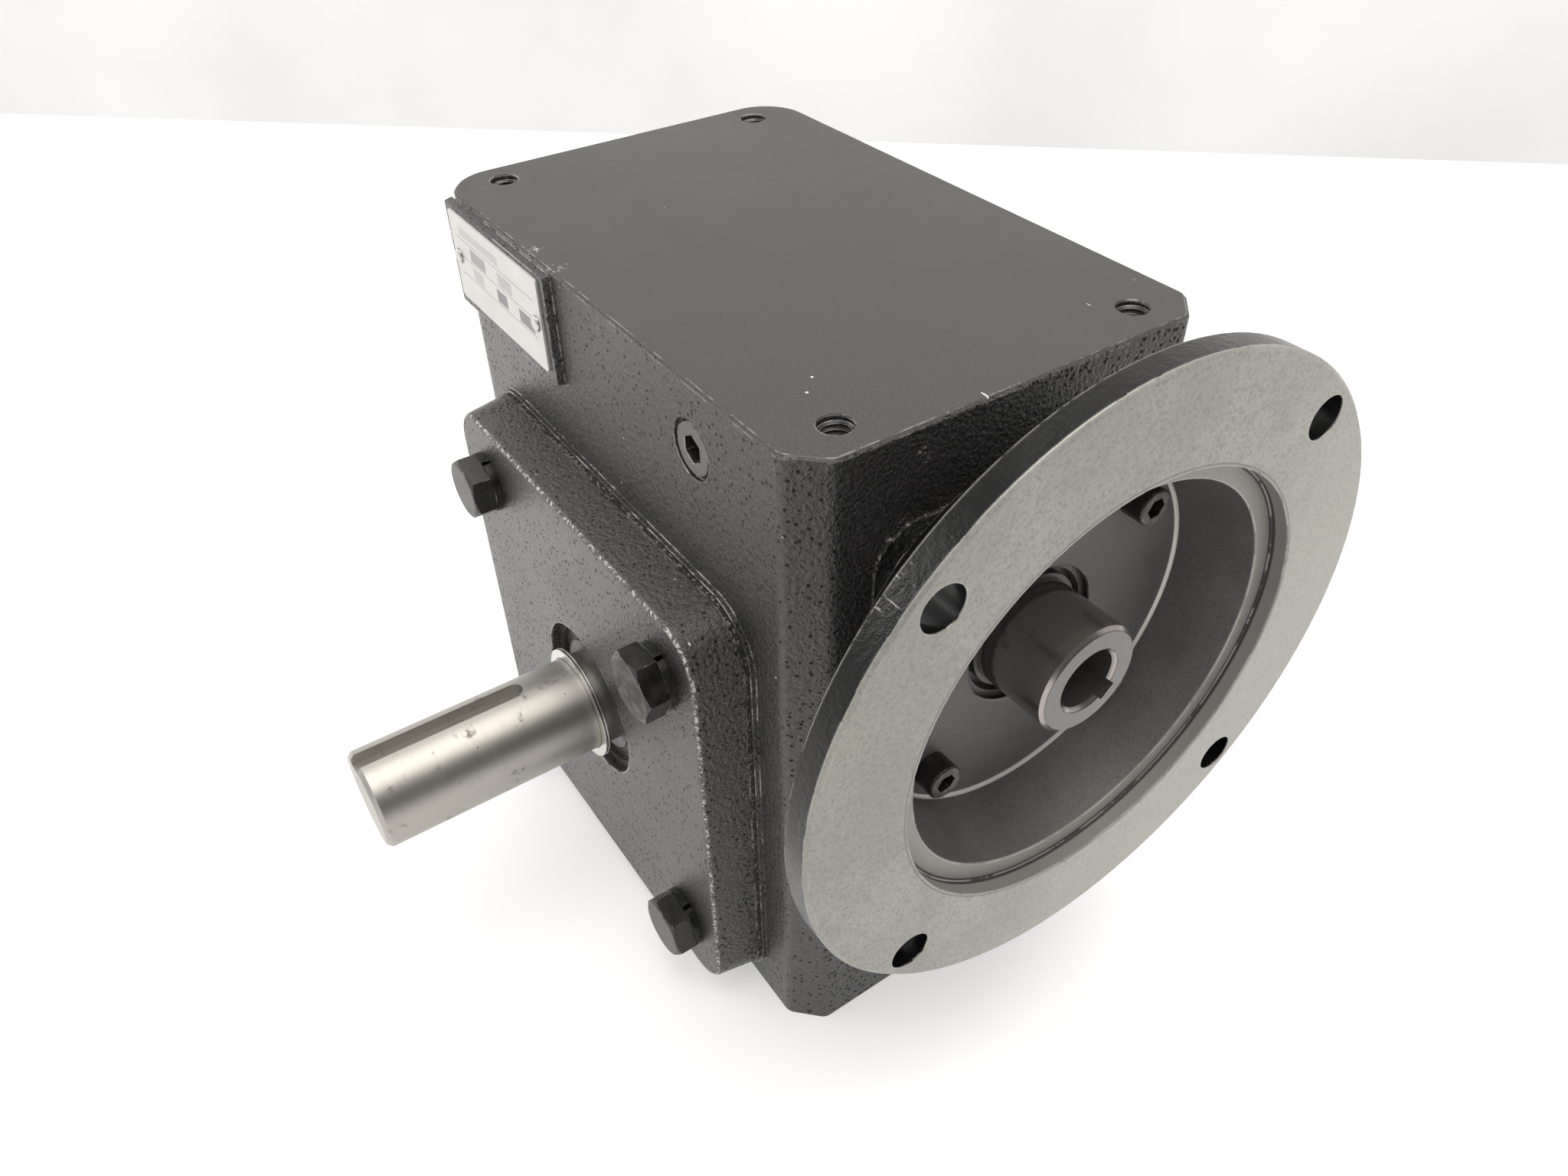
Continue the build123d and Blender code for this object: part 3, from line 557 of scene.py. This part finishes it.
def oiled_black(name, worn=0.5, end_axis=None, end_at=0.0):
    """Blackened steel; its heads end in a turned face across end_axis, at end_at."""
    material, tree, shader = new_material(name)
    spot, *place = object_point(tree)
    rubbed = place_group(tree, edge_rub, spot, Radius=0.0004, Amount=worn, Patch_Scale=190.0)
    cloudy = noise_node(tree, spot, 260.0, 5.0, 0.65)
    fine = noise_node(tree, spot, 1800.0, 3.0, 0.6)
    colour = mix_colour(tree, step_node(tree, cloudy, 0.35, 0.7), *oxide_colours)
    rough = step_node(tree, cloudy, 0.3, 0.7, 0.24, 0.40)
    if end_axis is not None:
        off = off_plane(tree, place[end_axis], end_at)
        turned = step_node(tree, off, 0.00015, 0.0003, 1.0, 0.0)
        end_tone = mix_colour(tree, step_node(tree, cloudy, 0.4, 0.62), *turned_colours)
        colour = mix_colour(tree, turned, colour, end_tone)
        rough = math_node(tree, "MULTIPLY_ADD", turned, 0.12, rough)
    colour = mix_colour(tree, rubbed.outputs["Mask"], colour, rubbed_steel_colour)
    normal = bump_node(tree, fine, 0.6, 0.00012, rubbed.outputs["Rounded"])
    set_finish(tree, shader, colour, rough, normal, times(tree, rubbed.outputs["Mask"], 0.8))
    return material


bolt_end_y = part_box("cover_bolts")[0].y
screw_end_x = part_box("adapter_screws")[1].x
dress("cover_bolts", oiled_black("bolt_black", end_axis=1, end_at=bolt_end_y))
dress("lock_washers", oiled_black("washer_black", worn=0.45))
dress("adapter_screws", oiled_black("socket_screw_black", end_axis=0, end_at=screw_end_x))

# The output shaft: carbon steel, ground bright, with fine rings from the grinding wheel
# and a few handling stains. The key and the spacer on it are of the same stock, and the
# retaining rings are stamped from spring steel.
bright_steel_colour = (0.41, 0.396, 0.366)
stain_tint = (0.34, 0.32, 0.29)
speck_tint = 0.25
ring_scale = 5200.0
plain_scale = 70.0


def ground_steel(
    name, axis, colour=bright_steel_colour, rough=0.34, stain=0.6, other=None, metal=1.0,
    soft=None,
):
    """Steel ground or turned about an axis (0 for X, 1 for Y), with faint rings along it.
    other gives a mask function and a colour for places with another finish or with painted
    shade; soft is how far its edges look rounded."""
    material, tree, shader = new_material(name)
    spot, x, y, z = object_point(tree)
    scale = [plain_scale] * 3
    scale[axis] = ring_scale
    rings = noise_node(tree, stretched(tree, spot, scale), 1.0, 2.0, 0.7)
    stains = noise_node(tree, spot, 150.0, 7.0, 0.72)
    marks = step_node(tree, stains, 0.57, 0.70, 0.0, stain)
    specks = place_group(tree, dust, spot, Scale=330.0, Amount=0.16)
    tone = laid_over(tree, colour, (
        (marks, tuple(v * tint for v, tint in zip(colour, stain_tint))),
        (specks.outputs["Mask"], tuple(v * speck_tint for v in colour)),
    ))
    if other is not None:
        mask_of, other_colour = other
        tone = mix_colour(tree, mask_of(tree, x, y, z), tone, other_colour)
    worn = step_node(tree, rings, 0.3, 0.7, rough - 0.03, rough + 0.03)
    worn = math_node(tree, "MULTIPLY_ADD", marks, 0.30, worn)
    edge = None
    if soft is not None:
        bevel = tree.nodes.new("ShaderNodeBevel")
        bevel.inputs["Radius"].default_value = soft
        edge = bevel.outputs["Normal"]
    set_finish(tree, shader, tone, worn, bump_node(tree, rings, 0.10, 0.00006, edge), metal)
    return material


def from_axis(tree, across, up):
    """How far a point is from an axis, by its two coordinates square to it."""
    squares = math_node(tree, "ADD", times(tree, across, across), times(tree, up, up))
    return math_node(tree, "SQRT", squares)


shaft_z = 0.0756
shaft_radius = 0.0142875
shaft_finish = ground_steel("ground_shaft", 1, rough=0.43)
for name in ("output_shaft", "wheel_key", "spacer_sleeve"):
    dress(name, shaft_finish)


def ring_groove_shade(tree, x, _, z):
    """1 in the gap where a ring meets the shaft, where its colour is painted dark as shade."""
    off = from_axis(tree, x, math_node(tree, "SUBTRACT", z, shaft_z))
    return step_node(tree, off, shaft_radius + 0.00025, shaft_radius + 0.0005, 1.0, 0.0)


# The rings are painted dark in the gap at the shaft: painted shade.
ring_finish = ground_steel(
    "spring_ring", 1, colour=(0.60, 0.59, 0.56), rough=0.22, stain=0.2,
    other=(ring_groove_shade, (0.04, 0.038, 0.036)), soft=0.0004)
for name in ("shaft_snap_ring", "worm_snap_ring", "end_snap_ring"):
    dress(name, ring_finish)

# The worm shaft: alloy steel, hardened and browned by the heat; its hollow end was faced
# and bored for the motor's shaft afterwards, so the end and the bore are pale.
worm_z = 0.1376
quill_end_x = 0.1192
quill_bore_radius = 0.0079375


def faced_end(tree, x, y, z):
    """1 on the faced end of the hollow shaft, and about half in its bore."""
    off = from_axis(tree, y, math_node(tree, "SUBTRACT", z, worm_z))
    end = step_node(tree, x, quill_end_x - 0.0003, quill_end_x - 0.0001)
    bore = step_node(
        tree, off, quill_bore_radius + 0.0002, quill_bore_radius + 0.0005, 0.55, 0.0)
    return math_node(tree, "MAXIMUM", end, bore)


dress("worm_shaft", ground_steel(
    "browned_worm_shaft", 0, colour=(0.37, 0.34, 0.32), rough=0.20,
    other=(faced_end, (0.155, 0.15, 0.147)), metal=0.85))

# The oil seals: nitrile rubber moulded over a steel case, pressed into the cover and the
# adapter, with a lip on the shaft. The end plug is a steel cap pressed into the housing
# and painted with it.
rubber, tree, shader = new_material("seal_rubber")
spot = object_point(tree)[0]
bloom = noise_node(tree, spot, 160.0, 5.0, 0.65)
set_finish(
    tree, shader, mix_colour(tree, bloom, (0.028, 0.026, 0.0245), (0.095, 0.088, 0.08)),
    step_node(tree, bloom, 0.3, 0.7, 0.22, 0.42),
    bump_node(tree, noise_node(tree, spot, 1100.0, 3.0), 0.4, 0.00012), 0.0)
dress("output_seal", rubber)
dress("input_seal", rubber)
dress("end_plug", black_paint("end_plug_paint", lumps=0.2, rub=0.3))


# The wheel: a bronze rim, cut with throated teeth, on an iron hub; both sit in oil
# inside the housing. The bearings beside it are hard polished steel with brass cages.
def plain_metal(name, colour, rough):
    """Clean machined metal with a faint grain."""
    material, tree, shader = new_material(name)
    grain = noise_node(tree, object_point(tree)[0], 400.0, 4.0, 0.6)
    dark = tuple(v * 0.72 for v in colour)
    set_finish(
        tree, shader, mix_colour(tree, grain, dark, colour),
        step_node(tree, grain, 0.3, 0.7, rough - 0.06, rough + 0.08),
        bump_node(tree, grain, 0.2, 0.0001), 1.0)
    return material


dress("wheel_rim", plain_metal("gear_bronze", (0.60, 0.38, 0.17), 0.3))
dress("wheel_hub", plain_metal("turned_iron", (0.28, 0.28, 0.27), 0.42))
race_steel = plain_metal("race_steel", (0.64, 0.64, 0.65), 0.14)
cage_brass = plain_metal("cage_brass", (0.62, 0.46, 0.2), 0.3)
for place in ("output_front", "output_rear", "worm_front", "worm_rear"):
    for part in ("outer_race", "inner_race", "balls"):
        dress(f"{place}_{part}", race_steel)
    dress(f"{place}_cage", cage_brass)

# The motor adapter: an iron casting painted black outside, then turned, so its motor face, pilot
# and bowl are bare grey iron with stains. The rim keeps a glossy coat that is scraped through in
# places, and the window in the bowl's floor is glossy with oil and painted dark as shade.
face_x = 0.125
flange_radius = 0.08255
pilot_radius = 0.05715
pilot_floor_x = face_x - 0.0045
bowl_floor_x = 0.1000
bowl_corner_radius = 0.0479
bowl_corner = 0.0006
seal_window_radius = 0.0189
motor_hole_place = 0.149225 / 2 / math.sqrt(2)
motor_hole_radius = 0.00535
rim_knock = (0.117, -0.0606, 0.1937)
tool_mark_pitch = 0.0009
adapter_finish, tree, shader = new_material("adapter_iron")
shader.inputs["Specular IOR Level"].default_value = 0.3
spot, x, y, z = object_point(tree)
facing_x, facing_y, facing_z = surface_facing(tree)
rise = math_node(tree, "SUBTRACT", z, worm_z)
radius = from_axis(tree, y, rise)
rubbed = place_group(tree, edge_rub, spot, Radius=0.0008, Amount=0.56, Patch_Scale=80.0)
skin = place_group(tree, cast_skin, spot, Lump_Scale=520.0)
cloudy = noise_node(tree, spot, 38.0, 7.0, 0.7)
tinted = noise_node(tree, spot, 17.0, 3.0, 0.55)
speckle = noise_node(tree, spot, 1300.0, 4.0, 0.65)
blots = noise_node(tree, spot, 120.0, 6.0, 0.75)

# What was turned bare: the motor's face, and the inside from the bowl's floor outwards
front = times(
    tree, step_node(tree, x, face_x - 0.0012, face_x - 0.0010),
    step_node(tree, facing_x, 0.3, 0.6))
past_pilot = step_node(tree, radius, pilot_radius + 0.0005, pilot_radius + 0.0009)
bare_face = times(tree, front, past_pilot)
past_floor = step_node(tree, x, bowl_floor_x - 0.0004, bowl_floor_x - 0.0002)
in_bowl = times(tree, math_node(tree, "SUBTRACT", 1.0, past_pilot), past_floor)
outward = math_node(tree, "MULTIPLY_ADD", rise, facing_z, times(tree, y, facing_y))
in_bowl = times(tree, in_bowl, step_node(tree, outward, 0.004, 0.010, 1.0, 0.0))
bare = math_node(tree, "MAXIMUM", bare_face, in_bowl)

# The motor's face: stained and speckled, with painted shade towards its upper near side and
# painted light towards its lower far one
shade_to_light = math_node(tree, "MULTIPLY_ADD", rise, -0.6, y)
shade_to_light = math_node(tree, "MULTIPLY_ADD", cloudy, 0.05, shade_to_light)
face_tone = mix_colour(
    tree, step_node(tree, cloudy, 0.38, 0.62), (0.33, 0.324, 0.302), (0.42, 0.412, 0.385))
face_tone = laid_over(tree, face_tone, (
    (step_node(tree, tinted, 0.42, 0.68, 0.0, 0.6), (0.375, 0.38, 0.32)),
    (step_node(tree, speckle, 0.46, 0.64, 0.0, 0.50), (0.19, 0.185, 0.165)),
    (step_node(tree, blots, 0.62, 0.72, 0.0, 0.30), (0.19, 0.185, 0.16)),
    # Painted shade towards the upper near side, painted light towards the lower far side
    (step_node(tree, shade_to_light, -0.06, 0.09, 0.22, 0.0), (0.20, 0.195, 0.172)),
    (step_node(tree, shade_to_light, 0.0, 0.11, 0.0, 0.35), (0.56, 0.55, 0.51)),
))

# The bowl: darker iron, with a clean pilot step, painted shade in the pilot's corner, a painted
# highlight where the wall meets the floor, and painted shade in the seal's window
pilot = step_node(tree, x, pilot_floor_x - 0.0006, pilot_floor_x - 0.0003)
# A dark band in the pilot's corner: painted shade.
pilot_corner_shade = times(
    tree, step_node(tree, radius, pilot_radius - 0.0010, pilot_radius - 0.0006),
    step_node(tree, x, pilot_floor_x + 0.0009, pilot_floor_x + 0.0013, 1.0, 0.0))
pilot_corner_shade = times(tree, pilot_corner_shade, pilot)
corner_x = bowl_floor_x + bowl_corner
# A bright line where the bowl's wall meets its floor: a painted highlight.
corner = times(
    tree, step_node(tree, x, corner_x + 0.0001, corner_x + 0.0003, 0.9, 0.0),
    step_node(tree, radius, bowl_corner_radius - 0.0002, bowl_corner_radius))
# The seal's window is painted near-black: painted shade in that recess. It is also glossier with
# oil.
window = step_node(
    tree, radius, seal_window_radius + 0.0001, seal_window_radius + 0.0003, 1.0, 0.0)
bowl_tone = mix_colour(tree, cloudy, (0.10, 0.096, 0.092), (0.20, 0.193, 0.185))
bowl_tone = laid_over(tree, bowl_tone, (
    (step_node(tree, speckle, 0.35, 0.75, 0.0, 0.4), (0.06, 0.057, 0.054)),
    (times(tree, pilot, 0.7), (0.36, 0.352, 0.33)),
    (times(tree, pilot_corner_shade, 0.85), (0.03, 0.028, 0.026)),
    (corner, (0.66, 0.645, 0.61)),
    (times(tree, window, 0.93), (0.012, 0.011, 0.011)),
))

# The coat outside: fine scrapes across the rim, and strokes round one knock on it
lengthwise = stretched(tree, spot, (0.12, 1.0, 1.0))
scrapes = place_group(tree, dust, lengthwise, Scale=760.0, Amount=0.5)
scraped = times(tree, scrapes.outputs["Mask"], step_node(tree, tinted, 0.56, 0.60))
from_knock = vector_node(tree, "DISTANCE", spot, rim_knock)
stroke = math_node(
    tree, "ADD", noise_node(tree, lengthwise, 1300.0, 2.0, 0.6),
    step_node(tree, from_knock, 0.004, 0.013, 0.08, -0.3))
stroke = step_node(tree, stroke, 0.66, 0.74, 0.0, 0.7)
scraped = math_node(tree, "MAXIMUM", scraped, stroke)
coat_tone = mix_colour(
    tree, step_node(tree, cloudy, 0.45, 0.7), (0.004, 0.004, 0.004), (0.011, 0.0113, 0.0106))
tone = laid_over(tree, coat_tone, (
    (rubbed.outputs["Mask"], (0.45, 0.44, 0.41)),
    (scraped, (0.36, 0.355, 0.34)),
    (in_bowl, bowl_tone),
    (bare_face, face_tone),
    (times(tree, rubbed.outputs["Mask"], 0.6), (0.60, 0.59, 0.56)),
))

metal = times(tree, bare, math_node(tree, "MULTIPLY_ADD", window, -0.4, 0.4))
worn = math_node(tree, "MAXIMUM", rubbed.outputs["Mask"], scraped)
metal = math_node(tree, "MAXIMUM", metal, times(tree, worn, 0.6))
coat_rough = step_node(tree, cloudy, 0.3, 0.7, 0.16, 0.30)
bare_rough = step_node(tree, cloudy, 0.3, 0.7, 0.40, 0.56)
bare_rough = math_node(tree, "MULTIPLY_ADD", window, -0.12, bare_rough)
rough = math_node(tree, "SUBTRACT", bare_rough, coat_rough)
rough = math_node(tree, "MULTIPLY_ADD", rough, bare, coat_rough)

# Cast lumps under the coat, fewer on the rim and none in the drilled holes; tool marks
# on what was turned
hole_off_y = math_node(
    tree, "SUBTRACT", math_node(tree, "ABSOLUTE", y), motor_hole_place)
hole_off_z = math_node(
    tree, "SUBTRACT", math_node(tree, "ABSOLUTE", rise), motor_hole_place)
drilled = step_node(
    tree, from_axis(tree, hole_off_y, hole_off_z),
    motor_hole_radius + 0.0001, motor_hole_radius + 0.0003, 1.0, 0.0)
rim = step_node(tree, radius, flange_radius - 0.0015, flange_radius - 0.0005, 1.0, 0.35)
height = times(tree, skin.outputs["Height"], math_node(tree, "SUBTRACT", 1.0, bare))
height = times(tree, height, math_node(tree, "SUBTRACT", rim, drilled, clamp=True))
turning = math_node(tree, "SINE", times(tree, radius, 2 * math.pi / tool_mark_pitch))
height = math_node(tree, "MULTIPLY_ADD", times(tree, turning, bare), 0.008, height)
height = math_node(tree, "MULTIPLY_ADD", speckle, 0.05, height)
normal = bump_node(tree, height, 1.0, skin_depth, rubbed.outputs["Rounded"])
set_finish(tree, shader, tone, rough, normal, metal)
dress("motor_adapter", adapter_finish)

# The oil plugs: steel screws with a hex socket, set just below the face and painted over
# with the housing.
dress("oil_plugs", black_paint("plug_paint", lumps=0.15, rub_radius=0.0005))

# The nameplate: thin aluminium sheet, printed with empty data boxes, and held by two
# drive pins on a raised pad of the housing.
brush_scale = (90.0, 90.0, 4000.0)
print_colour = (0.06, 0.06, 0.06)
plate_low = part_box("nameplate")[0]
plate_finish, tree, shader = new_material("nameplate_print")
spot, x, _, z = object_point(tree)
streaks = noise_node(tree, stretched(tree, spot, brush_scale), 1.0, 2.0, 0.6)
smudge = noise_node(tree, spot, 120.0, 4.0, 0.6)
tone = mix_colour(tree, smudge, (0.58, 0.572, 0.555), (0.70, 0.692, 0.675))
# The print is laid out in millimetres from the plate's lower left corner
plate_u = times(tree, math_node(tree, "SUBTRACT", x, plate_low.x), 1000.0)
plate_v = times(tree, math_node(tree, "SUBTRACT", z, plate_low.z), 1000.0)


def printed_span(term, start, size):
    """1 from start on, for the length size."""
    after = math_node(tree, "GREATER_THAN", term, start)
    return times(tree, after, math_node(tree, "LESS_THAN", term, start + size))


# left, low, width and height of the printed boxes, and how dark each is printed
data_boxes = (
    (3.5, 19.0, 49.0, 0.35, 0.5), (3.5, 13.6, 49.0, 0.35, 0.5), (3.5, 8.2, 49.0, 0.35, 0.5),
    (12.0, 14.4, 10.0, 3.8, 0.55), (30.0, 14.4, 9.0, 3.8, 0.35), (12.0, 9.0, 7.0, 3.8, 0.3),
    (28.0, 9.0, 6.5, 3.8, 0.75), (42.0, 9.0, 9.0, 3.8, 0.75), (6.0, 20.2, 26.0, 2.6, 0.25),
)
for left, low, wide, tall, dark in data_boxes:
    inside = times(tree, printed_span(plate_u, left, wide), printed_span(plate_v, low, tall))
    tone = mix_colour(tree, times(tree, inside, dark), tone, print_colour)
set_finish(
    tree, shader, tone, step_node(tree, streaks, 0.3, 0.7, 0.3, 0.45),
    bump_node(tree, streaks, 0.2, 0.00005), 0.35)
dress("nameplate", plate_finish)
dress("nameplate_pins", plain_metal("pin_metal", (0.6, 0.6, 0.58), 0.3))
